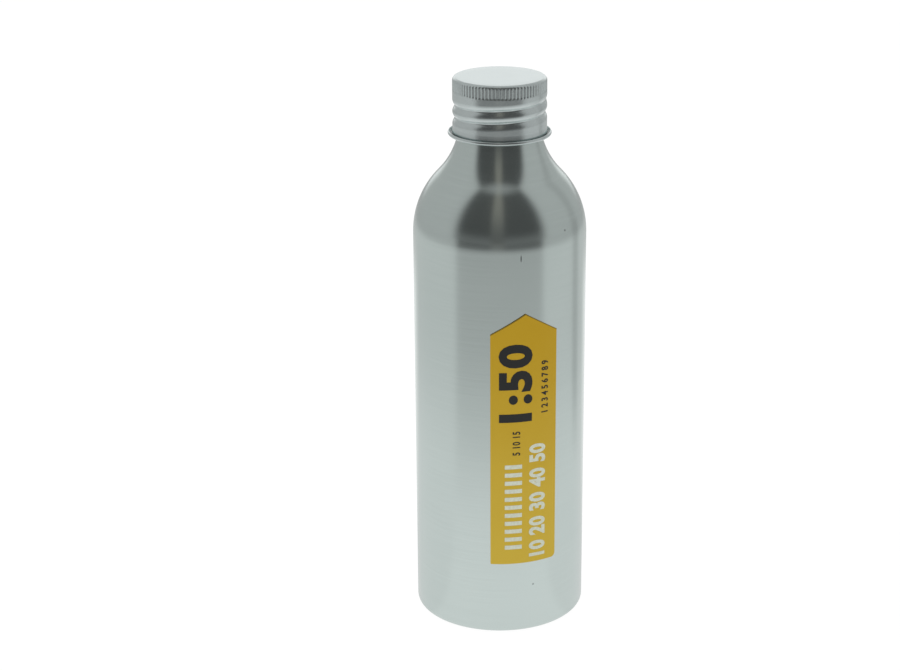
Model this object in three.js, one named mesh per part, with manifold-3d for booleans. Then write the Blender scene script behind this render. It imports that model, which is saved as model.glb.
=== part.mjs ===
// Aluminium bottle that carries the oil for one fuel mix: a drawn bottle, a screw cap with a sealing disc, a label.
// Millimetres, +Z up. The origin is on the table under the bottle's axis, and the label faces -Y.
import * as THREE from "three";
import { mergeVertices } from "three/addons/utils/BufferGeometryUtils.js";
import Module from "manifold-3d";

const wasm = await Module();
wasm.setup();

// Bottle: one sheet of even thickness, from the middle of the base to the rolled mouth
const BODY_DIAMETER = 45;
const BOTTLE_WALL = 0.5;
const SHOULDER_START = 105.5;
const SHOULDER_RADIUS = 22.5;
const NECK_DIAMETER = 20.6;
const NECK_SWEEP_RADIUS = 21;
const BASE_CORNER_RADIUS = 1.7;
const FOOT_WIDTH = 1.5;
const DOME_RISE = 3;

// Mouth: the neck draws in, then its edge is rolled outwards into a bead
const NECK_LENGTH = 5.3;
const DRAW_IN_HEIGHT = 1.7;
const MOUTH_BEAD_RADIUS = 1.1;
const MOUTH_BEAD_DIAMETER = 20.4;
const MOUTH_BEAD_TURN = 265;

// Screw thread: the cap's groove runs round between the ridges of the neck
const THREAD_PITCH = 3.175;
const CAP_GROOVE_DEPTH = 0.7;
const CAP_GROOVE_TURNS = 1.83;
const THREAD_START = THREE.MathUtils.degToRad(83);
const THREAD_RUN_OUT = 0.22;
const NECK_RIDGE_TURNS = 1.25;
const THREAD_CLEARANCE = 0.4;

// Cap: one pressed sheet, with a knurl round the top and a rolled lower edge
const CAP_DIAMETER = 24.2;
const CAP_HEIGHT = 15;
const CAP_WALL = 0.4;
const CAP_TOP_RADIUS = 1;
const SKIRT_DIAMETER = 24.4;
const SKIRT_BEAD_RADIUS = 0.5;
const SKIRT_BEAD_SET_OUT = 0.5;
const SKIRT_BEAD_TURN = 255;
const KNURL_COUNT = 80;
const KNURL_DEPTH = 0.2;
const KNURL_HEIGHT = 2.45;
const KNURL_TO_GROOVE = 0.43;

// Sealing disc in the cap
const DISC_THICKNESS = 1.4;
const DISC_CLEARANCE = 0.1;
const SEAT_CLEARANCE = 0.05;

// Label: a tag with a pointed top, wrapped round the front
const LABEL_WIDTH = 18;
const LABEL_BOTTOM = 20.4;
const LABEL_SIDE_HEIGHT = 64.2;
const LABEL_POINT_HEIGHT = 5.3;
const LABEL_CORNER_RADIUS = 1.2;
const LABEL_THICKNESS = 0.15;
const LABEL_CLEARANCE = 0.1;

// Facets: sides of each round piece, and rows for one turn of thread
const BOTTLE_SIDES = 38;
const CAP_SIDES = 40;
const ROWS_PER_PITCH = 5;
const ARC_STEP = THREE.MathUtils.degToRad(26);
const SWEEP_STEP = THREE.MathUtils.degToRad(12);

// Worked out from the sizes above
const BODY_RADIUS = BODY_DIAMETER / 2;
const NECK_RADIUS = NECK_DIAMETER / 2;
const CAP_RADIUS = CAP_DIAMETER / 2;
const SKIRT_RADIUS = SKIRT_DIAMETER / 2;
const SHOULDER_TURN = Math.acos(1 - (BODY_RADIUS - NECK_RADIUS) / (SHOULDER_RADIUS + NECK_SWEEP_RADIUS));
const NECK_START = SHOULDER_START + (SHOULDER_RADIUS + NECK_SWEEP_RADIUS) * Math.sin(SHOULDER_TURN);
const MOUTH_TOP = NECK_START + NECK_LENGTH + DRAW_IN_HEIGHT + MOUTH_BEAD_RADIUS + 0.6;
const CAP_TOP = MOUTH_TOP + SEAT_CLEARANCE + DISC_THICKNESS + CAP_WALL;
const CAP_BOTTOM = CAP_TOP - CAP_HEIGHT;
const KNURL_BOTTOM = CAP_TOP - CAP_TOP_RADIUS - KNURL_HEIGHT;
const GROOVE_END = KNURL_BOTTOM - KNURL_TO_GROOVE - THREAD_PITCH / 2;
const GROOVE_START = GROOVE_END - CAP_GROOVE_TURNS * THREAD_PITCH;
const RIDGE_START = GROOVE_START + THREAD_PITCH / 2;
const RIDGE_HEIGHT = CAP_RADIUS - CAP_WALL - THREAD_CLEARANCE - NECK_RADIUS;

const line = (r0, z0, r1, z1) => new THREE.LineCurve(new THREE.Vector2(r0, z0), new THREE.Vector2(r1, z1));

const arc = (r, z, radius, from, to) =>
  new THREE.EllipseCurve(r, z, radius, radius, from, to, to < from);

// Joins [curve, steps] pairs into one run of points, without the doubles where two curves meet.
function trace(pieces) {
  const points = [];
  for (const [curve, steps] of pieces) {
    const run = curve.getPoints(Math.max(1, Math.round(steps)));
    points.push(...(points.length ? run.slice(1) : run));
  }
  return points;
}

// The closed outline of a sheet whose middle follows the points: down one side and back up the other.
function sheetOutline(points, wall) {
  const side = (sign) =>
    points.map((point, i) => {
      const before = points[Math.max(i - 1, 0)];
      const after = points[Math.min(i + 1, points.length - 1)];
      const into = point.clone().sub(before).normalize();
      const out = after.clone().sub(point).normalize();
      const along = into.add(out).normalize();
      const corner = Math.max(along.dot(i ? point.clone().sub(before).normalize() : out), 0.5);
      const normal = new THREE.Vector2(along.y, -along.x);
      const moved = point.clone().addScaledVector(normal, (sign * wall) / 2 / corner);
      if (point.x === 0) moved.set(0, point.y + (sign * normal.y * wall) / 2);
      return moved;
    });
  return [...side(1), ...side(-1).reverse()];
}

// A three.js geometry as a manifold-3d solid: shared vertices are merged and faces that collapsed are dropped.
function solidFrom(geometry) {
  const bare = geometry.clone();
  bare.deleteAttribute("normal");
  bare.deleteAttribute("uv");
  const merged = mergeVertices(bare, 1e-4);
  const index = merged.index.array;
  const kept = [];
  for (let i = 0; i < index.length; i += 3) {
    const [a, b, c] = [index[i], index[i + 1], index[i + 2]];
    if (a !== b && b !== c && c !== a) kept.push(a, b, c);
  }
  return new wasm.Manifold(
    new wasm.Mesh({
      numProp: 3,
      vertProperties: merged.attributes.position.array,
      triVerts: new Uint32Array(kept),
    }),
  );
}

function geometryFrom(solid) {
  const mesh = solid.getMesh();
  const geometry = new THREE.BufferGeometry();
  geometry.setAttribute("position", new THREE.BufferAttribute(mesh.vertProperties, 3));
  geometry.setIndex(new THREE.BufferAttribute(mesh.triVerts, 1));
  geometry.computeVertexNormals();
  return geometry;
}

// Turns an outline of (radius, height) points about the Z axis.
function turned(outline, sides) {
  return new THREE.LatheGeometry(outline, sides).rotateX(Math.PI / 2);
}

// Sections of a thread, for a distance from its middle line in pitches: a rolled ridge and a pressed, pointed groove.
const rolled = (offset) => 0.5 + 0.5 * Math.cos(2 * Math.PI * offset);
const pressed = (offset) => 1 - Math.sin(Math.PI * offset);

// How far a run-out helix stands out at a point, from 0 beside it to 1 on its middle line.
function helixHeight(angle, z, start, turns, section) {
  let height = 0;
  const share = ((angle - THREAD_START) / (2 * Math.PI) + 2) % 1;
  for (let turn = share; turn <= turns; turn += 1) {
    const offset = Math.abs(z - start - turn * THREAD_PITCH) / THREAD_PITCH;
    if (offset < 0.5) {
      const fade = THREE.MathUtils.smoothstep(Math.min(turn, turns - turn), 0, THREAD_RUN_OUT);
      height += fade * section(offset);
    }
  }
  return height;
}

// Rolls a thread into a turned sheet: both faces move by the same amount, outwards where it is above 0.
function rollThread(geometry, start, turns, amount, section) {
  const position = geometry.attributes.position;
  for (let i = 0; i < position.count; i++) {
    const [x, y, z] = [position.getX(i), position.getY(i), position.getZ(i)];
    const radius = Math.hypot(x, y);
    if (radius < NECK_RADIUS - 2 * BOTTLE_WALL) continue;
    const moved = 1 + (amount * helixHeight(Math.atan2(y, x), z, start, turns, section)) / radius;
    position.setXY(i, x * moved, y * moved);
  }
  return geometry;
}

// Base, wall, shoulder, threaded neck and rolled mouth, all one drawn sheet.
function bottleGeometry() {
  const half = BOTTLE_WALL / 2;
  const foot = BODY_RADIUS - BASE_CORNER_RADIUS;
  const footInside = foot - FOOT_WIDTH;
  const dome = new THREE.CubicBezierCurve(
    new THREE.Vector2(0, DOME_RISE + half),
    new THREE.Vector2(footInside * 0.7, DOME_RISE + half),
    new THREE.Vector2(footInside * 0.86, half),
    new THREE.Vector2(footInside, half),
  );
  const beadMiddle = MOUTH_BEAD_DIAMETER / 2 - MOUTH_BEAD_RADIUS;
  const beadLine = MOUTH_BEAD_RADIUS - half;
  const beadHeight = MOUTH_TOP - MOUTH_BEAD_RADIUS;
  const neckLine = NECK_RADIUS - half;
  const drawInStart = NECK_START + NECK_LENGTH;
  const drawnIn = beadMiddle - beadLine;
  const drawIn = new THREE.CubicBezierCurve(
    new THREE.Vector2(neckLine, drawInStart),
    new THREE.Vector2(neckLine, drawInStart + DRAW_IN_HEIGHT / 2),
    new THREE.Vector2(drawnIn, drawInStart + DRAW_IN_HEIGHT / 2),
    new THREE.Vector2(drawnIn, drawInStart + DRAW_IN_HEIGHT),
  );
  const turn = THREE.MathUtils.degToRad(MOUTH_BEAD_TURN);
  const middle = trace([
    [dome, 5],
    [line(footInside, half, foot, half), 1],
    [arc(foot, BASE_CORNER_RADIUS, BASE_CORNER_RADIUS - half, -Math.PI / 2, 0), Math.PI / 2 / ARC_STEP],
    [line(BODY_RADIUS - half, BASE_CORNER_RADIUS, BODY_RADIUS - half, SHOULDER_START), 1],
    [
      arc(BODY_RADIUS - SHOULDER_RADIUS, SHOULDER_START, SHOULDER_RADIUS - half, 0, SHOULDER_TURN),
      SHOULDER_TURN / SWEEP_STEP,
    ],
    [
      arc(NECK_RADIUS + NECK_SWEEP_RADIUS, NECK_START, NECK_SWEEP_RADIUS + half, Math.PI + SHOULDER_TURN, Math.PI),
      SHOULDER_TURN / SWEEP_STEP,
    ],
    [line(neckLine, NECK_START, neckLine, drawInStart), (NECK_LENGTH / THREAD_PITCH) * ROWS_PER_PITCH],
    [drawIn, 4],
    [line(drawnIn, drawInStart + DRAW_IN_HEIGHT, drawnIn, beadHeight), 1],
    [arc(beadMiddle, beadHeight, beadLine, Math.PI, Math.PI - turn), turn / (2 * ARC_STEP)],
  ]);
  const blank = turned(sheetOutline(middle, BOTTLE_WALL), BOTTLE_SIDES);
  return geometryFrom(solidFrom(rollThread(blank, RIDGE_START, NECK_RIDGE_TURNS, RIDGE_HEIGHT, rolled)));
}

// The V flutes that give the cap its grip. They end below the rounding of its top.
function knurlCutters() {
  const reach = 2 * KNURL_DEPTH;
  let cutters = null;
  for (let i = 0; i < KNURL_COUNT; i++) {
    const angle = ((i + 0.5) / KNURL_COUNT) * 2 * Math.PI;
    const flute = new THREE.CylinderGeometry(reach, reach, KNURL_HEIGHT, 6)
      .rotateX(Math.PI / 2)
      .rotateZ(Math.PI / 2)
      .translate(CAP_RADIUS - KNURL_DEPTH + reach, 0, KNURL_BOTTOM + KNURL_HEIGHT / 2)
      .rotateZ(angle);
    const solid = solidFrom(flute);
    cutters = cutters ? cutters.add(solid) : solid;
  }
  return cutters;
}

// Flat top, knurl, rolled thread, plain band and rolled edge, all one pressed sheet, at its height on the bottle.
function capGeometry() {
  const half = CAP_WALL / 2;
  const top = CAP_TOP - half;
  const side = CAP_RADIUS - half;
  const skirt = SKIRT_RADIUS - half;
  const beadLine = SKIRT_BEAD_RADIUS - half;
  const beadHeight = CAP_BOTTOM + SKIRT_BEAD_RADIUS;
  const beadStart = skirt + beadLine;
  const beadEnd = beadStart + SKIRT_BEAD_SET_OUT;
  const quarter = 1.5 * Math.PI;
  const threadBottom = GROOVE_START - THREAD_PITCH / 2;
  const threadTop = GROOVE_END + THREAD_PITCH / 2;
  const turn = THREE.MathUtils.degToRad(SKIRT_BEAD_TURN);
  const middle = trace([
    [line(0, top, CAP_RADIUS - CAP_TOP_RADIUS, top), 1],
    [
      arc(CAP_RADIUS - CAP_TOP_RADIUS, CAP_TOP - CAP_TOP_RADIUS, CAP_TOP_RADIUS - half, Math.PI / 2, 0),
      Math.PI / 2 / ARC_STEP,
    ],
    [line(side, CAP_TOP - CAP_TOP_RADIUS, side, threadTop), 1],
    [line(side, threadTop, side, threadBottom), ((threadTop - threadBottom) / THREAD_PITCH) * ROWS_PER_PITCH],
    [line(side, threadBottom, skirt, beadHeight), 1],
    [arc(beadStart, beadHeight, beadLine, Math.PI, quarter), Math.PI / (4 * ARC_STEP)],
    [line(beadStart, beadHeight - beadLine, beadEnd, beadHeight - beadLine), 1],
    [arc(beadEnd, beadHeight, beadLine, quarter, Math.PI + turn), (Math.PI + turn - quarter) / (2 * ARC_STEP)],
  ]);
  const blank = turned(sheetOutline(middle, CAP_WALL), CAP_SIDES);
  const shell = solidFrom(rollThread(blank, GROOVE_START, CAP_GROOVE_TURNS, -CAP_GROOVE_DEPTH, pressed));
  return geometryFrom(shell.subtract(knurlCutters()));
}

// The foam disc that seals the mouth, held up inside the cap's top.
function discGeometry() {
  const radius = CAP_RADIUS - CAP_TOP_RADIUS - DISC_CLEARANCE;
  const outline = [
    new THREE.Vector2(0, 0),
    new THREE.Vector2(radius, 0),
    new THREE.Vector2(radius, DISC_THICKNESS),
    new THREE.Vector2(0, DISC_THICKNESS),
  ];
  return geometryFrom(solidFrom(turned(outline, CAP_SIDES)));
}

// The distance from the axis to a side of the bottle's polygon, at an angle from the +X axis.
function polygonRadius(radius, angle) {
  const step = (2 * Math.PI) / BOTTLE_SIDES;
  const within = ((angle % step) + step) % step;
  return (radius * Math.cos(step / 2)) / Math.cos(within - step / 2);
}

// The label's lower and upper edge, for a distance across it from its middle line.
function labelEdges(across) {
  const halfWidth = LABEL_WIDTH / 2;
  const intoCorner = Math.max(Math.abs(across) - (halfWidth - LABEL_CORNER_RADIUS), 0);
  const rounding = LABEL_CORNER_RADIUS - Math.sqrt(Math.max(LABEL_CORNER_RADIUS ** 2 - intoCorner ** 2, 0));
  const top = LABEL_BOTTOM + LABEL_SIDE_HEIGHT + LABEL_POINT_HEIGHT * (1 - Math.abs(across) / halfWidth);
  return [LABEL_BOTTOM + rounding, top];
}

// A thin film that lies along the bottle's facets, one column of points on each of its creases.
function labelGeometry() {
  const front = -Math.PI / 2;
  const halfAngle = LABEL_WIDTH / 2 / BODY_RADIUS;
  const cornerAngle = LABEL_CORNER_RADIUS / BODY_RADIUS;
  const step = (2 * Math.PI) / BOTTLE_SIDES;
  const angles = [0];
  for (const share of [0, 0.3, 0.6, 1]) {
    angles.push(halfAngle - share * cornerAngle, share * cornerAngle - halfAngle);
  }
  for (let i = 0; i < BOTTLE_SIDES; i++) {
    const crease = i * step - Math.PI - front;
    if (Math.abs(crease) < halfAngle - cornerAngle && Math.abs(crease) > cornerAngle / 10) angles.push(crease);
  }
  angles.sort((a, b) => a - b);
  const inside = BODY_RADIUS + LABEL_CLEARANCE;
  const points = [];
  for (const angle of angles) {
    const [bottom, top] = labelEdges(angle * BODY_RADIUS);
    for (const radius of [inside, inside + LABEL_THICKNESS]) {
      const reach = polygonRadius(radius, angle + front);
      const [x, y] = [reach * Math.cos(angle + front), reach * Math.sin(angle + front)];
      points.push(x, y, bottom, x, y, top);
    }
  }
  const faces = [];
  const quad = (a, b, c, d) => faces.push(a, b, c, a, c, d);
  const last = (angles.length - 1) * 4;
  for (let i = 0; i < last; i += 4) {
    quad(i + 2, i + 6, i + 7, i + 3);
    quad(i, i + 1, i + 5, i + 4);
    quad(i + 1, i + 3, i + 7, i + 5);
    quad(i, i + 4, i + 6, i + 2);
  }
  quad(0, 2, 3, 1);
  quad(last, last + 1, last + 3, last + 2);
  const geometry = new THREE.BufferGeometry();
  geometry.setAttribute("position", new THREE.Float32BufferAttribute(points, 3));
  geometry.setIndex(faces);
  geometry.computeVertexNormals();
  return geometry;
}

const brushedAluminium = new THREE.MeshStandardMaterial({ color: 0xc7cfcf, metalness: 1, roughness: 0.35 });
const satinAluminium = new THREE.MeshStandardMaterial({ color: 0xc4cccc, metalness: 1, roughness: 0.3 });
const whiteFoam = new THREE.MeshStandardMaterial({ color: 0xf0f0ec, metalness: 0, roughness: 0.8 });
const yellowFilm = new THREE.MeshStandardMaterial({ color: 0xd2b03c, metalness: 0, roughness: 0.45 });

function piece(name, geometry, material) {
  const mesh = new THREE.Mesh(geometry, material);
  mesh.name = name;
  return mesh;
}

const bottle = new THREE.Group();
bottle.add(piece("bottle_body", bottleGeometry(), brushedAluminium));
bottle.add(piece("label", labelGeometry(), yellowFilm));

const closure = new THREE.Group();
closure.add(piece("screw_cap", capGeometry(), satinAluminium));
const disc = piece("sealing_disc", discGeometry(), whiteFoam);
disc.position.z = MOUTH_TOP + SEAT_CLEARANCE;
closure.add(disc);

const part = new THREE.Group();
part.add(bottle, closure);
export default part;
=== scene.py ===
# An aluminium bottle that measures the oil for one fuel mix, on a white table.
# Lengths are in metres and +Z is up. The label faces -Y.
import math

import bpy
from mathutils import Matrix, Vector


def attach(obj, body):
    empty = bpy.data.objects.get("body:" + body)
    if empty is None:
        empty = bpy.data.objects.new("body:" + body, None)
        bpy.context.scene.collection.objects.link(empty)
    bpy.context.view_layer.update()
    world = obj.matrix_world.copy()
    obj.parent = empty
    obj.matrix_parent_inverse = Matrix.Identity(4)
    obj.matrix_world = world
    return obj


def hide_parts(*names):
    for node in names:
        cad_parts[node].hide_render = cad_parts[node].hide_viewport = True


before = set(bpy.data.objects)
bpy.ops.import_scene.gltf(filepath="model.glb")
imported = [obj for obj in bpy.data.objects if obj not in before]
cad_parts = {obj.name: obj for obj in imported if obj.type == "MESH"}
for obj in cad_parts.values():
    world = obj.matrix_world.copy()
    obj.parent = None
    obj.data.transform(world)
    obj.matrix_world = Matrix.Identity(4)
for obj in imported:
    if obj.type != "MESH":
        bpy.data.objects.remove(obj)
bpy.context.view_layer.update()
MM = 0.001


# Room
# A matt white table in a bright room, as the bare metal mirrors it. On the side that the camera looks
# from, the room is dark beyond the table's edge, with one paler gap in it.
camera_turn = math.radians(-16.8)
to_camera = (math.sin(camera_turn), -math.cos(camera_turn))
gap_middle = -0.05
stripe_middle = -0.45


class Shade:
    """One value in a shader. Sums of such values add the nodes that work them out."""

    def __init__(self, tree, socket=None):
        self.tree = tree
        self.socket = socket

    def node(self, kind, inputs=None, output=0, **settings):
        made = self.tree.nodes.new(kind)
        for name, value in settings.items():
            setattr(made, name, value)
        for name, value in (inputs or {}).items():
            if isinstance(value, Shade):
                self.tree.links.new(value.socket, made.inputs[name])
            else:
                made.inputs[name].default_value = value
        return Shade(self.tree, made.outputs[output] if made.outputs else None)

    def sum(self, operation, first, second=0.0):
        return self.node("ShaderNodeMath", {0: first, 1: second}, operation=operation)

    def __add__(self, other):
        return self.sum("ADD", self, other)

    def __radd__(self, other):
        return self.sum("ADD", other, self)

    def __sub__(self, other):
        return self.sum("SUBTRACT", self, other)

    def __rsub__(self, other):
        return self.sum("SUBTRACT", other, self)

    def __mul__(self, other):
        return self.sum("MULTIPLY", self, other)

    def __rmul__(self, other):
        return self.sum("MULTIPLY", other, self)

    def __truediv__(self, other):
        return self.sum("DIVIDE", self, other)

    def size(self):
        return self.sum("ABSOLUTE", self)

    def root(self):
        return self.sum("SQRT", self)

    def step(self, low, high):
        """0 below low and 1 above high, with a soft change between. Works the other way round too."""
        return self.node(
            "ShaderNodeMapRange", {0: self, 1: low, 2: high}, interpolation_type="SMOOTHSTEP"
        )

    def colours(self, first, second):
        """first where this value is 0, second where it is 1."""
        return self.node("ShaderNodeMix", {0: self, 6: first, 7: second}, output=2, data_type="RGBA")

    def parts(self):
        split = self.node("ShaderNodeSeparateXYZ", {0: self}).socket.node
        return [Shade(self.tree, split.outputs[i]) for i in range(3)]


def grey(level, warmth=0.0):
    """A grey light or paint, which warmth turns towards yellow."""
    return (level * (1 + warmth), level, level * (1 - 1.5 * warmth), 1)


def bearings(place):
    """Where a place on the table or a direction in the room lies, seen from the bottle.

    facing is 1 towards the camera and -1 behind the bottle. gap and stripe are 1 in the paler gap of the
    dark front and in the dark stripe beside the bottle. across is how far away the place is.
    """
    x, y, z = place.parts()
    across = (x * x + y * y).root()
    facing = (x * to_camera[0] + y * to_camera[1]) / across
    aside = (x * -to_camera[1] + y * to_camera[0]) / across
    gap = (aside - gap_middle).size().step(0.19, 0.11)
    stripe = (facing - stripe_middle).size().step(0.16, 0.05) * aside.step(0.0, 0.3)
    return facing, gap, stripe, across, z


stripe_tone = grey(0.1)
plain_light = 1.0
world = bpy.data.worlds.new("bright_room")
bpy.context.scene.world = world
world.use_nodes = True
world.node_tree.nodes.clear()
room = Shade(world.node_tree)
direction = room.node("ShaderNodeTexCoord", output=0)
facing, gap, stripe, _, height = bearings(direction)
window = facing.step(-0.8, -0.98) * height.step(0.45, 0.3)
walls = window.colours(grey(0.44), grey(0.96))
striped_walls = (stripe * 0.2).colours(walls, stripe_tone)
overhead = height.step(0.86, 0.97)
gap_light = height.step(0.1, 0.9).colours(grey(0.11, 0.02), grey(0.22, 0.07))
dark = height.step(0.22, -0.05).colours(grey(0.064), grey(0.16))
dark_front = gap.colours(dark, gap_light)
low_front = facing.step(0.36, 0.62) * (1 - overhead * 0.7)
mirrored = low_front.colours(striped_walls, dark_front)
rays = room.node("ShaderNodeLightPath").socket.node
seen = Shade(world.node_tree, rays.outputs["Is Camera Ray"])
glossy = Shade(world.node_tree, rays.outputs["Is Glossy Ray"])
lit = glossy.colours(grey(0.95), mirrored)
shown = seen.colours(lit, grey(1.0))
backdrop = room.node("ShaderNodeBackground", {0: shown, 1: plain_light})
room.node("ShaderNodeOutputWorld", {0: backdrop})

table_radius = 3
edge_start = 0.38
edge_end = edge_start + 0.3
table_glow = 0.88
bpy.ops.mesh.primitive_circle_add(vertices=96, radius=table_radius, fill_type="NGON")
table = bpy.context.object
table.name = "table"
white_table = bpy.data.materials.new("white_table")
white_table.use_nodes = True
white_table.node_tree.nodes.clear()
top = Shade(white_table.node_tree)
spot = top.node("ShaderNodeTexCoord", output=3)
facing, gap, stripe, across, height = bearings(spot)
past_edge = across.step(edge_start, edge_end)
close_ahead = across.step(0.05, 0.27).colours(grey(0.75), grey(0.43))
ahead = past_edge.colours(close_ahead, gap.colours(grey(0.11), grey(0.16, 0.02)))
close_sides = across.step(0.1, 0.25).colours(grey(0.71), grey(0.58))
sides = past_edge.colours(close_sides, grey(0.43))
close_behind = facing.step(-0.7, -0.96) * across.step(0.36, 0.26)
sides_and_back = close_behind.colours(sides, grey(0.92))
striped = (stripe * across.step(0.1, 0.2) * 0.3).colours(sides_and_back, stripe_tone)
mirror_tone = facing.step(0.46, 0.62).colours(striped, ahead)
rays = top.node("ShaderNodeLightPath").socket.node
seen = Shade(white_table.node_tree, rays.outputs["Is Camera Ray"])
glossy = Shade(white_table.node_tree, rays.outputs["Is Glossy Ray"])
matt = top.node("ShaderNodeBsdfDiffuse", {0: grey(0.8)})
white = top.node("ShaderNodeEmission", {0: grey(1.07), 1: plain_light})
plain = top.node("ShaderNodeMixShader", {0: seen * table_glow, 1: matt, 2: white})
mirror_light = top.node("ShaderNodeEmission", {0: mirror_tone, 1: plain_light})
surface = top.node("ShaderNodeMixShader", {0: glossy, 1: plain, 2: mirror_light})
top.node("ShaderNodeOutputMaterial", {0: surface})
table.data.materials.append(white_table)

# The camera looks down on the bottle a little, which stands right of the picture's middle.
lens_pixels = 2114
camera_distance = 0.526
camera_height = 0.2671
camera_pitch = math.radians(19.94)
picture_width = 900
pixels_aside = 49.7
bpy.ops.object.camera_add(
    location=(to_camera[0] * camera_distance, to_camera[1] * camera_distance, camera_height),
    rotation=(math.pi / 2 - camera_pitch, 0, camera_turn),
)
camera = bpy.context.object
camera.data.sensor_width = 36
camera.data.lens = lens_pixels / picture_width * camera.data.sensor_width
camera.data.shift_x = -pixels_aside / picture_width
camera.data.clip_start = 0.01
bpy.context.scene.camera = camera
bpy.context.scene.view_settings.view_transform = "Standard"


# Bottle
# Drawn from one aluminium slug, necked in, threaded and rolled over at the mouth, then brushed
# round and round on a lathe. The base is pushed up, so that it stands on a narrow ring.
body_radius = 22.5 * MM
bottle_wall = 0.5 * MM
shoulder_start = 105.5 * MM
shoulder_radius = 22.5 * MM
neck_radius = 10.3 * MM
neck_sweep_radius = 21 * MM
base_corner = 1.7 * MM
foot_width = 1.5 * MM
dome_rise = 3 * MM
dome_flat = 0.55
neck_length = 5.3 * MM
draw_in_height = 1.7 * MM
throat_height = 0.6 * MM
mouth_bead = 1.1 * MM
mouth_radius = 10.2 * MM
mouth_roll = math.radians(265)
thread_pitch = 3.175 * MM
thread_start = math.radians(83)
ridge_turns = 1.25
ridge_height = 1.0 * MM
thread_run_out = 0.22
cap_wall = 0.4 * MM
cap_corner = 1 * MM
knurl_height = 2.45 * MM
knurl_to_groove = 0.43 * MM
groove_turns = 1.83
disc_thickness = 1.4 * MM
seat_clearance = 0.05 * MM
bottle_steps = 192
dome_steps = 12

shoulder_turn = math.acos(1 - (body_radius - neck_radius) / (shoulder_radius + neck_sweep_radius))
neck_start = shoulder_start + (shoulder_radius + neck_sweep_radius) * math.sin(shoulder_turn)
mouth_top = neck_start + neck_length + draw_in_height + mouth_bead + throat_height
cap_top = mouth_top + seat_clearance + disc_thickness + cap_wall
knurl_bottom = cap_top - cap_corner - knurl_height
groove_end = knurl_bottom - knurl_to_groove - thread_pitch / 2
groove_start = groove_end - groove_turns * thread_pitch
ridge_start = groove_start + thread_pitch / 2


def arc(r, z, radius, start, end, steps):
    """Points on an arc in the section, without its first point."""
    turns = [start + (end - start) * i / steps for i in range(1, steps + 1)]
    return [(r + radius * math.cos(t), z + radius * math.sin(t)) for t in turns]


def ease(first, second, steps):
    """Points on an S-shaped run between two points of the section, without its first point."""
    points = []
    for i in range(1, steps + 1):
        share = i / steps
        swing = share * share * (3 - 2 * share)
        r = first[0] + (second[0] - first[0]) * swing
        points.append((r, first[1] + (second[1] - first[1]) * share))
    return points


def straight(first, second, steps):
    """Points on a straight run between two points of the section, without its first point."""
    shares = [i / steps for i in range(1, steps + 1)]
    return [tuple(a + (b - a) * share for a, b in zip(first, second)) for share in shares]


def spin_sheet(name, section, wall, steps):
    """Draws a section one point after another, spins it about Z and gives it an even wall."""
    bpy.ops.object.select_all(action="DESELECT")
    bpy.ops.mesh.primitive_plane_add(size=MM, location=(0, 0, 0))
    piece = bpy.context.object
    piece.name = name
    piece.data.name = name
    bpy.ops.object.mode_set(mode="EDIT")
    bpy.ops.mesh.select_all(action="SELECT")
    bpy.ops.mesh.merge(type="CENTER")
    bpy.ops.transform.translate(value=(section[0][0], 0, section[0][1]))
    for before, after in zip(section, section[1:]):
        move = (after[0] - before[0], 0, after[1] - before[1])
        bpy.ops.mesh.extrude_region_move(TRANSFORM_OT_translate={"value": move})
    bpy.ops.mesh.select_all(action="SELECT")
    bpy.ops.mesh.spin(steps=steps, angle=2 * math.pi, center=(0, 0, 0), axis=(0, 0, 1))
    bpy.ops.mesh.select_all(action="SELECT")
    bpy.ops.mesh.remove_doubles(threshold=0.002 * MM)
    bpy.ops.mesh.normals_make_consistent(inside=False)
    bpy.ops.object.mode_set(mode="OBJECT")
    sheet = piece.modifiers.new("wall", "SOLIDIFY")
    sheet.thickness = wall
    sheet.offset = 0
    sheet.use_even_offset = True
    bpy.ops.object.modifier_apply(modifier="wall")
    bpy.ops.object.shade_smooth_by_angle(angle=math.radians(40))
    return piece


def rolled(offset):
    """The section of a rolled thread, for a distance from its middle line in pitches."""
    return 0.5 + 0.5 * math.cos(2 * math.pi * offset)


def helix(x, y, z, start, turns, section_of=rolled):
    """How far a thread stands out here, from 0 beside it to 1 on its middle line."""
    height = 0
    turn = ((math.atan2(y, x) - thread_start) / (2 * math.pi)) % 1
    while turn <= turns:
        offset = abs(z - start - turn * thread_pitch) / thread_pitch
        if offset < 0.5:
            fade = min(1, min(turn, turns - turn) / thread_run_out)
            height += fade * fade * (3 - 2 * fade) * section_of(offset)
        turn += 1
    return height


def new_material(name, **settings):
    """A material with fixed values on its main shader, and the start of its shader sums."""
    made = bpy.data.materials.new(name)
    made.use_nodes = True
    shader = made.node_tree.nodes["Principled BSDF"]
    for setting, value in settings.items():
        shader.inputs[setting.replace("_", " ")].default_value = value
    return made, Shade(made.node_tree)


def finished(material, **links):
    """Joins shader values to the main shader of a material."""
    shader = material.node_tree.nodes["Principled BSDF"]
    for name, value in links.items():
        material.node_tree.links.new(value.socket, shader.inputs[name.replace("_", " ")])


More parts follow.
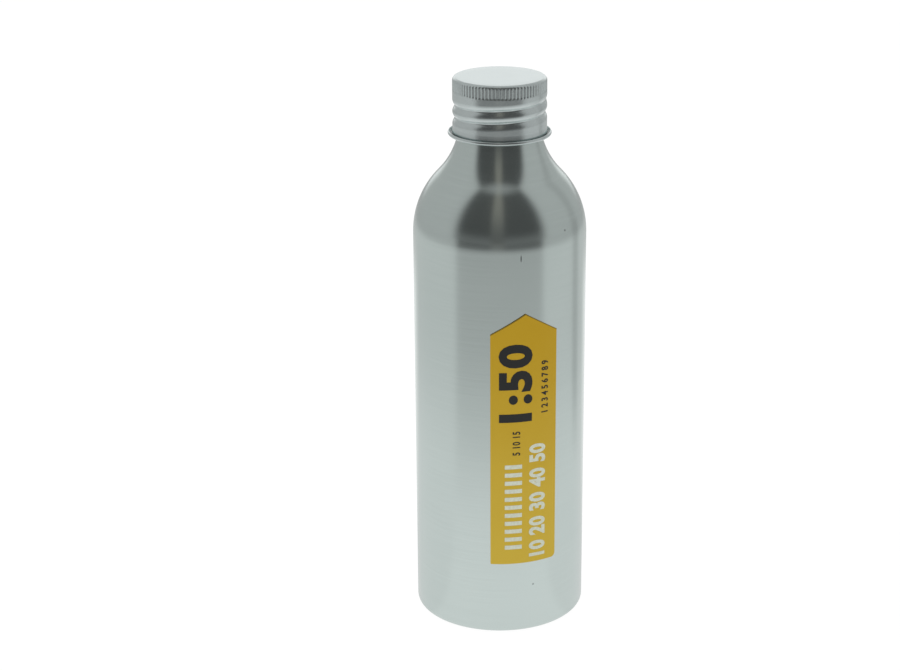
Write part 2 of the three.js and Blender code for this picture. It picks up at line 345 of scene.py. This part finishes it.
foot = body_radius - base_corner
foot_inside = foot - foot_width
half = bottle_wall / 2
neck_line = neck_radius - half
bead_middle = mouth_radius - mouth_bead
bead_line = mouth_bead - half
bead_height = mouth_top - mouth_bead
drawn_in = bead_middle - bead_line
draw_in_start = neck_start + neck_length
section = [(0, dome_rise + half)]
section += ease((0, dome_rise + half), (foot_inside * dome_flat, dome_rise + half), 3)
for i in range(1, dome_steps + 1):
    share = i / dome_steps
    r = foot_inside * (dome_flat + (1 - dome_flat) * share)
    section.append((r, half + dome_rise * (1 + math.cos(math.pi * share)) / 2))
section += straight((foot_inside, half), (foot, half), 2)
section += arc(foot, base_corner, base_corner - half, -math.pi / 2, 0, 10)
section += straight((body_radius - half, base_corner), (body_radius - half, shoulder_start), 8)
section += arc(
    body_radius - shoulder_radius, shoulder_start, shoulder_radius - half, 0, shoulder_turn, 16
)
sweep_middle = neck_radius + neck_sweep_radius
section += arc(
    sweep_middle, neck_start, neck_sweep_radius + half, math.pi + shoulder_turn, math.pi, 16
)
section += straight((neck_line, neck_start), (neck_line, draw_in_start), 22)
section += ease((neck_line, draw_in_start), (drawn_in, draw_in_start + draw_in_height), 8)
section += straight((drawn_in, draw_in_start + draw_in_height), (drawn_in, bead_height), 1)
section += arc(bead_middle, bead_height, bead_line, math.pi, math.pi - mouth_roll, 14)
bottle = spin_sheet("bottle", section, bottle_wall, bottle_steps)

for vertex in bottle.data.vertices:
    x, y, z = vertex.co
    reach = math.hypot(x, y)
    if z > neck_start - thread_pitch and reach > neck_radius - 2 * bottle_wall:
        out = ridge_height * helix(x, y, z, ridge_start, ridge_turns)
        vertex.co.xy *= 1 + out / reach

brushed, metal = new_material("brushed_aluminium", Metallic=1, Anisotropic=0.2)
place = metal.node("ShaderNodeTexCoord", output=3)
round_and_round = metal.node("ShaderNodeMapping", {0: place, 3: (45, 45, 5200)})
strokes = metal.node("ShaderNodeTexNoise", {"Vector": round_and_round, "Scale": 1, "Detail": 3})
wide = metal.node("ShaderNodeMapping", {0: place, 3: (25, 25, 600)})
bands = metal.node("ShaderNodeTexNoise", {"Vector": wide, "Scale": 1, "Detail": 2})
cloudy = metal.node("ShaderNodeTexNoise", {"Vector": place, "Scale": 55, "Detail": 2})
worn = strokes * 0.6 + bands * 0.1 + cloudy * 0.3
x, y, z = place.parts()
bare = worn.step(0.3, 0.7).colours((0.69, 0.78, 0.755, 1), (0.725, 0.815, 0.79, 1))
# Bearing in degrees, then distance from the axis, height, half width and half height in mm, and how dark.
small_marks = [
    (-93.0, 22.5, 104.6, 0.17, 0.9, 0.75),
    (-58.5, 22.1, 109.9, 0.3, 0.3, 0.5),
    (-83.6, 22.5, 13.6, 0.3, 0.3, 0.4),
]
for bearing, from_axis, up, half_width, half_height, strength in small_marks:
    turn = math.radians(bearing)
    beside_x = (x - from_axis * MM * math.cos(turn)) / (half_width * MM)
    beside_y = (y - from_axis * MM * math.sin(turn)) / (half_width * MM)
    above = (z - up * MM) / (half_height * MM)
    mark = (beside_x * beside_x + beside_y * beside_y + above * above).root().step(1.3, 0.6)
    bare = (mark * strength).colours(bare, (0.06, 0.06, 0.06, 1))
finished(
    brushed,
    Base_Color=bare,
    Roughness=0.15 + 0.06 * worn,
    Normal=metal.node("ShaderNodeBump", {"Strength": 0.04, "Distance": 0.04 * MM, "Height": strokes}),
)
bottle.data.materials.append(brushed)
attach(bottle, "bottle")
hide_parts("bottle_body")


# Screw cap
# Pressed from thin aluminium sheet: a flat top, a knurled grip, the thread rolled in over the neck's
# thread, a plain band and an edge that is rolled outwards.
cap_radius = 12.1 * MM
cap_height = 15 * MM
skirt_radius = 12.2 * MM
skirt_bead = 0.5 * MM
skirt_bead_set_out = 0.5 * MM
skirt_roll = math.radians(255)
groove_depth = 0.7 * MM
flutes = 80
flute_depth = 0.22 * MM
flute_run_out = 0.15 * MM
crevice_middle = 12.45 * MM
cap_steps = 480

half = cap_wall / 2
cap_bottom = cap_top - cap_height
side = cap_radius - half
skirt = skirt_radius - half
bead_line = skirt_bead - half
bead_height = cap_bottom + skirt_bead
bead_start = skirt + bead_line
bead_end = bead_start + skirt_bead_set_out
thread_bottom = groove_start - thread_pitch / 2
corner_height = cap_top - cap_corner
section = [(0, cap_top - half)]
section += straight((0, cap_top - half), (cap_radius - cap_corner, cap_top - half), 4)
section += arc(cap_radius - cap_corner, corner_height, cap_corner - half, math.pi / 2, 0, 12)
section += straight((side, corner_height), (side, thread_bottom), 58)
section += straight((side, thread_bottom), (skirt, bead_height), 3)
section += arc(bead_start, bead_height, bead_line, math.pi, math.pi * 1.5, 5)
section += straight((bead_start, bead_height - bead_line), (bead_end, bead_height - bead_line), 1)
section += arc(bead_end, bead_height, bead_line, math.pi * 1.5, math.pi + skirt_roll, 9)
cap = spin_sheet("cap", section, cap_wall, cap_steps)


def pressed(offset):
    """The section of a groove that a roller has pressed in: rounded edges and a sharp bottom."""
    return 1 - math.sin(math.pi * offset)


for vertex in cap.data.vertices:
    x, y, z = vertex.co
    reach = math.hypot(x, y)
    if reach > side - cap_wall:
        inwards = groove_depth * helix(x, y, z, groove_start, groove_turns, pressed)
        begun = min(1, max(0, (z - knurl_bottom) / flute_run_out))
        wave = (0.5 + 0.5 * math.cos(flutes * math.atan2(y, x))) ** 2
        wall = cap_wall if reach < side and z < corner_height + flute_run_out else 0
        floor = cap_radius - wall - flute_depth * begun * wave
        vertex.co.xy *= min(1, floor / reach) if begun else 1 - inwards / reach

satin, metal = new_material("satin_aluminium", Metallic=1)
place = metal.node("ShaderNodeTexCoord", output=3)
grain = metal.node("ShaderNodeTexNoise", {"Vector": place, "Scale": 2600, "Detail": 3})
patches = metal.node("ShaderNodeTexNoise", {"Vector": place, "Scale": 120, "Detail": 2})
worn = grain * 0.5 + patches * 0.5
x, y, z = place.parts()
# Painted shade: the base colour turns near black in the narrow slot between the skirt and its rolled-out
# edge, where the deep slot lies in shade.
from_axis = (x * x + y * y).root()
in_crevice = (from_axis - crevice_middle).size().step(0.36 * MM, 0.22 * MM)
crevice_shade = in_crevice * z.step(cap_bottom + 1.5 * MM, cap_bottom + 0.7 * MM)
sheet = worn.step(0.3, 0.7).colours((0.69, 0.765, 0.76, 1), (0.77, 0.845, 0.84, 1))
finished(
    satin,
    Base_Color=(crevice_shade * 0.75).colours(sheet, (0.05, 0.055, 0.055, 1)),
    Roughness=0.2 + 0.1 * worn,
    Normal=metal.node("ShaderNodeBump", {"Strength": 0.1, "Distance": 0.04 * MM, "Height": grain}),
)
cap.data.materials.append(satin)
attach(cap, "cap")
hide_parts("screw_cap")


# Sealing disc
# A disc of white foam that lies in the top of the cap and closes the mouth. Its edge is cut with a
# punch, and the rolled mouth has pressed a shallow ring into its lower face.
disc_clearance = 0.1 * MM
disc_radius = cap_radius - cap_corner - disc_clearance
disc_bottom = mouth_top + seat_clearance
dent_depth = 0.12 * MM
dent_slope = 0.5 * MM
dent_floor = 0.8 * MM
dent_edge = bead_middle + 0.9 * MM
bpy.ops.object.select_all(action="DESELECT")
bpy.ops.mesh.primitive_cylinder_add(
    vertices=96, radius=disc_radius, depth=disc_thickness, location=(0, 0, disc_bottom + disc_thickness / 2)
)
disc = bpy.context.object
disc.name = "disc"
bpy.ops.object.transform_apply(location=True, rotation=True, scale=True)
bpy.ops.object.mode_set(mode="EDIT")
bpy.ops.mesh.select_mode(type="FACE")
bpy.ops.mesh.select_all(action="DESELECT")
bpy.ops.object.mode_set(mode="OBJECT")
for face in disc.data.polygons:
    face.select = face.normal.z < -0.9
bpy.ops.object.mode_set(mode="EDIT")
bpy.ops.mesh.inset(thickness=disc_radius - dent_edge)
bpy.ops.mesh.inset(thickness=dent_slope)
bpy.ops.transform.translate(value=(0, 0, dent_depth))
bpy.ops.mesh.inset(thickness=dent_floor)
bpy.ops.mesh.inset(thickness=dent_slope)
bpy.ops.transform.translate(value=(0, 0, -dent_depth))
bpy.ops.object.mode_set(mode="OBJECT")
rounding = disc.modifiers.new("edge", "BEVEL")
rounding.width = 0.15 * MM
rounding.segments = 2
bpy.ops.object.modifier_apply(modifier="edge")
bpy.ops.object.shade_smooth_by_angle(angle=math.radians(30))

foam, soft = new_material("white_foam")
place = soft.node("ShaderNodeTexCoord", output=3)
cells = soft.node("ShaderNodeTexVoronoi", {"Vector": place, "Scale": 3500})
finished(
    foam,
    Base_Color=cells.step(0.1, 0.7).colours((0.80, 0.80, 0.77, 1), (0.90, 0.90, 0.88, 1)),
    Roughness=0.7 + 0.15 * cells,
    Normal=soft.node("ShaderNodeBump", {"Strength": 0.3, "Distance": 0.05 * MM, "Height": cells}),
)
disc.data.materials.append(foam)
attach(disc, "disc")
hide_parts("sealing_disc")


# Label
# A die-cut film with a pointed top and rounded lower corners, printed yellow all over and stuck
# straight up the front of the bottle.
label_width = 18 * MM
label_bottom = 20.4 * MM
label_side = 64.2 * MM
label_point = 5.3 * MM
left_corner = 0.3 * MM
right_corner = 1.2 * MM
label_gap = 0.1 * MM
label_film = 0.15 * MM
label_height = label_side + label_point


def wrap(piece, radius):
    """Bends a flat piece round the bottle: its X runs round the front and its Y up the side."""
    for vertex in piece.data.vertices:
        across, up, out = vertex.co
        turn = across / body_radius
        vertex.co = ((radius + out) * math.sin(turn), -(radius + out) * math.cos(turn), up)


def cut(point, normal):
    """Cuts a flat piece through a point and drops what lies on the normal's side."""
    bpy.ops.mesh.select_all(action="SELECT")
    plane = Vector(normal).normalized()
    bpy.ops.mesh.bisect(plane_co=point, plane_no=plane, clear_outer=True, threshold=0.001 * MM)


bpy.ops.object.select_all(action="DESELECT")
bpy.ops.mesh.primitive_grid_add(x_subdivisions=48, y_subdivisions=24, size=1)
label = bpy.context.object
label.name = "label_film"
bpy.ops.object.mode_set(mode="EDIT")
bpy.ops.transform.resize(value=(label_width, label_height, 1))
bpy.ops.transform.translate(value=(0, label_bottom + label_height / 2, 0))
point = (0, label_bottom + label_height, 0)
cut(point, (label_point, label_width / 2, 0))
cut(point, (-label_point, label_width / 2, 0))
for side_sign, corner in ((-1, left_corner), (1, right_corner)):
    corner_x = side_sign * (label_width / 2 - corner)
    corner_y = label_bottom + corner
    for slope in (22.5, 45, 67.5):
        lean = math.radians(slope)
        away = (side_sign * math.cos(lean), -math.sin(lean), 0)
        cut((corner_x + away[0] * corner, corner_y + away[1] * corner, 0), away)
bpy.ops.object.mode_set(mode="OBJECT")
film = label.modifiers.new("film", "SOLIDIFY")
film.thickness = label_film
film.offset = 1
bpy.ops.object.modifier_apply(modifier="film")
wrap(label, body_radius + label_gap)
bpy.ops.object.shade_smooth_by_angle(angle=math.radians(30))

yellow, paint = new_material("yellow_film", Specular_IOR_Level=0.25)
place = paint.node("ShaderNodeTexCoord", output=3)
fibres = paint.node("ShaderNodeTexNoise", {"Vector": place, "Scale": 900, "Detail": 3})
patches = paint.node("ShaderNodeTexNoise", {"Vector": place, "Scale": 60, "Detail": 1})
x, y, z = place.parts()
# The yellow darkens towards the top of the label: painted shade, as more light comes up off the table onto
# its lower part. The patches are the print's own uneven tone.
print_tone_and_shade = (z.step(20 * MM, 90 * MM) * 0.8 + patches * 0.2).colours(
    (0.63, 0.45, 0.05, 1), (0.48, 0.285, 0.003, 1)
)
# Painted shadow: a thin dark line on the yellow along the label's sloping top edges, where the film's edge
# shades it.
round_front = paint.sum("ARCTAN2", x, 0 - y).size() * body_radius
top_edge = label_bottom + label_height - round_front * (label_point / (label_width / 2))
edge_shadow = (top_edge - z).step(0.42 * MM, 0.12 * MM)
finished(
    yellow,
    Base_Color=(edge_shadow * 0.75).colours(print_tone_and_shade, (0.12, 0.085, 0.01, 1)),
    Roughness=0.42 + 0.12 * fibres,
    Normal=paint.node("ShaderNodeBump", {"Strength": 0.08, "Distance": 0.03 * MM, "Height": fibres}),
)
label.data.materials.append(yellow)
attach(label, "bottle")
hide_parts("label")


# Printing
# Flat ink on the film: black numbers for the mix, and in white a row of numbers beside a scale.
# All of it reads upwards, and each line is a thin piece of its own that lies on the film.
ink_height = 0.02 * MM
ink_depth = 0.03 * MM
ink_roughness = 0.4
ink_radius = body_radius + label_gap + label_film
strip_width = 0.5 * MM
mark_count = 11
mark_pitch = 2.29 * MM
mark_length = 4.5 * MM
mark_width = 1.15 * MM
first_mark = (-3.05 * MM, 25.2 * MM)


def plain_ink(name, colour):
    """An even ink with slightly paler specks."""
    made, shade = new_material(name)
    spots = shade.node("ShaderNodeTexNoise", {
        "Vector": shade.node("ShaderNodeTexCoord", output=3),
        "Scale": 1500,
        "Detail": 2,
    })
    paler = tuple(c * 1.12 for c in colour[:3]) + (1,)
    finished(
        made,
        Base_Color=spots.step(0.35, 0.65).colours(colour, paler),
        Roughness=ink_roughness + 0.1 * spots,
    )
    return made


black_ink = plain_ink("black_ink", (0.012, 0.013, 0.012, 1))
white_ink = plain_ink("white_ink", (0.60, 0.635, 0.52, 1))


def lay_on(piece, name, colour):
    """Cuts a flat print finely, bends it round the label and gives it its ink."""
    piece.name = name
    bpy.ops.object.mode_set(mode="EDIT")
    for i in range(-16, 17):
        bpy.ops.mesh.select_all(action="SELECT")
        bpy.ops.mesh.bisect(plane_co=(i * strip_width, 0, 0), plane_no=(1, 0, 0), threshold=0.001 * MM)
    bpy.ops.mesh.select_all(action="SELECT")
    bpy.ops.mesh.extrude_region_move(TRANSFORM_OT_translate={"value": (0, 0, ink_depth)})
    bpy.ops.mesh.select_all(action="SELECT")
    bpy.ops.mesh.normals_make_consistent(inside=False)
    bpy.ops.object.mode_set(mode="OBJECT")
    wrap(piece, ink_radius + ink_height)
    bpy.ops.object.shade_smooth_by_angle(angle=math.radians(30))
    piece.data.materials.append(colour)
    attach(piece, "bottle")


def print_figures(name, figures, right_edge, start, glyph_height, length, weight, spread, colour):
    """Figures that read upwards, with their foot at right_edge and their first figure at start."""
    bpy.ops.object.select_all(action="DESELECT")
    bpy.ops.object.text_add()
    text = bpy.context.object
    text.data.body = figures
    text.data.offset = weight
    text.data.space_character = spread
    text.data.resolution_u = 4
    bpy.ops.object.convert(target="MESH")
    piece = bpy.context.object
    corners = [Vector(c) for c in piece.bound_box]
    low = Vector((min(c.x for c in corners), min(c.y for c in corners), 0))
    high = Vector((max(c.x for c in corners), max(c.y for c in corners), 0))
    for vertex in piece.data.vertices:
        along = (vertex.co.x - low.x) / (high.x - low.x) * (length * MM)
        rise = (vertex.co.y - low.y) / (high.y - low.y) * (glyph_height * MM)
        vertex.co = (right_edge * MM - rise, start * MM + along, 0)
    lay_on(piece, name, colour)


# Name, figures, right edge, start, figure height and length in mm, then the strokes' weight, the figures'
# spread and the ink.
print_figures("mix_numbers", "1:50", 1.9, 60.6, 8.8, 21.3, 0.045, 1.12, black_ink)
print_figures("small_numbers", "5 10 15", -1.3, 51.3, 2, 6.7, 0.018, 1.1, black_ink)
print_figures("side_numbers", "1 2 3 4 5 6 7 8 9", 6.4, 62.4, 2, 14.3, 0.025, 1.0, black_ink)
print_figures("scale_numbers", "10 20 30 40 50", 5.7, 22, 4.6, 32, 0.04, 1.05, white_ink)

bpy.ops.object.select_all(action="DESELECT")
bpy.ops.mesh.primitive_grid_add(x_subdivisions=1, y_subdivisions=1, size=1)
scale = bpy.context.object
bpy.ops.object.mode_set(mode="EDIT")
bpy.ops.transform.resize(value=(mark_length, mark_width, 1))
bpy.ops.transform.translate(value=(first_mark[0], first_mark[1], 0))
for i in range(mark_count - 1):
    bpy.ops.mesh.duplicate_move(TRANSFORM_OT_translate={"value": (0, mark_pitch, 0)})
bpy.ops.object.mode_set(mode="OBJECT")
lay_on(scale, "scale_marks", white_ink)
